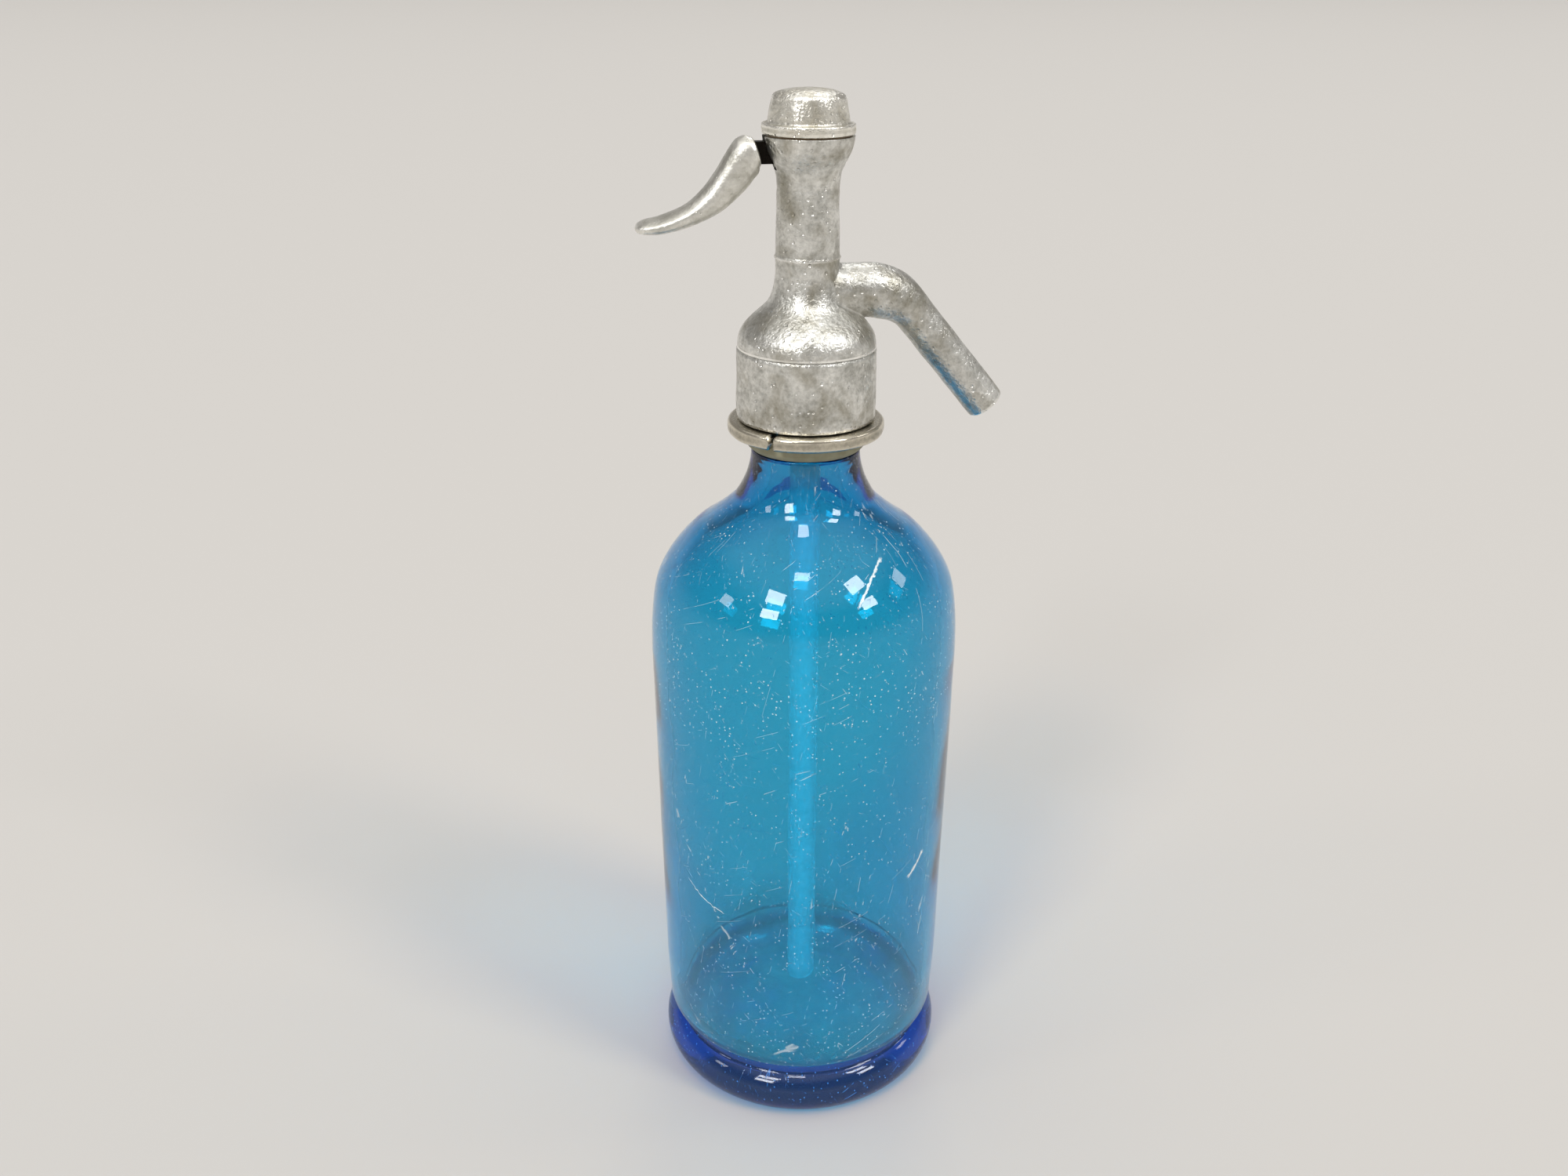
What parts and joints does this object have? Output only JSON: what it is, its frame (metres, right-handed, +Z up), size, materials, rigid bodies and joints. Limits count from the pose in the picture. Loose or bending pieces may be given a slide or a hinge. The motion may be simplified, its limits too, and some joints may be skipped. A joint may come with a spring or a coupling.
{
  "type": "soda siphon",
  "caption": "Old soda siphon: blown blue glass bottle with a foot ring, screwed pewter valve head, bent spout and a spring-closed thumb lever that lifts the valve.",
  "frame": {"origin": "on the bottle's axis, in the plane that the foot ring stands on", "axes": "+Z up along the bottle's axis, +X towards the spout, -X towards the thumb lever, so the lever, the valve and the spout lie in the XZ plane"},
  "size_m": [0.1052, 0.0932, 0.3115],
  "materials": {
    "blue_glass": "clear, turquoise to deep blue, scratched",
    "tube_glass": "clear",
    "cast_pewter": "cast and worn, dull grey with bright spots",
    "turned_tin_ring": "turned, half polished, warm grey",
    "neck_packing": "matt, olive grey with age",
    "black_iron": "black, oxidised",
    "brass": "turned",
    "red_rubber": "matt",
    "oiled_leather": "oiled",
    "spring_steel": "drawn and turned"
  },
  "bodies": {
    "siphon": {"bottle": "blue_glass", "dip_tube": "tube_glass", "tube_grommet": "red_rubber", "tube_nut": "brass", "neck_packing": "neck_packing", "half_ring_front": "turned_tin_ring", "half_ring_back": "turned_tin_ring", "mouth_gasket": "red_rubber", "head_body": "cast_pewter", "spout": "cast_pewter", "valve_seat": "brass", "packing_leather": "oiled_leather", "packing_gland": "brass", "cap_gasket": "oiled_leather", "head_cap": "cast_pewter"},
    "lever": {"lever_handle": "cast_pewter", "lever_tongue": "black_iron", "lever_pin": "black_iron"},
    "valve": {"valve_rod": "brass", "valve_disc": "brass", "valve_pad": "red_rubber", "pad_screw": "spring_steel", "spring_washer": "spring_steel", "return_spring": "spring_steel"}
  },
  "joints": [
    {"name": "lever_press", "type": "hinge", "parent": "siphon", "child": "lever", "pos_m": [-0.0076, 0, 0.2946], "axis": [0, -1, 0], "range_deg": [0, 18], "stiffness_Nm_per_rad": 0.126, "springref_deg": -57.3},
    {"name": "valve_lift", "type": "slide", "parent": "siphon", "child": "valve", "axis": [0, 0, 1], "range_m": [0, 0.0025], "deforming": ["return_spring"]}
  ],
  "couplings": [
    {"joint": "valve_lift", "follows": "lever_press", "m_per_rad": 0.007932}
  ]
}
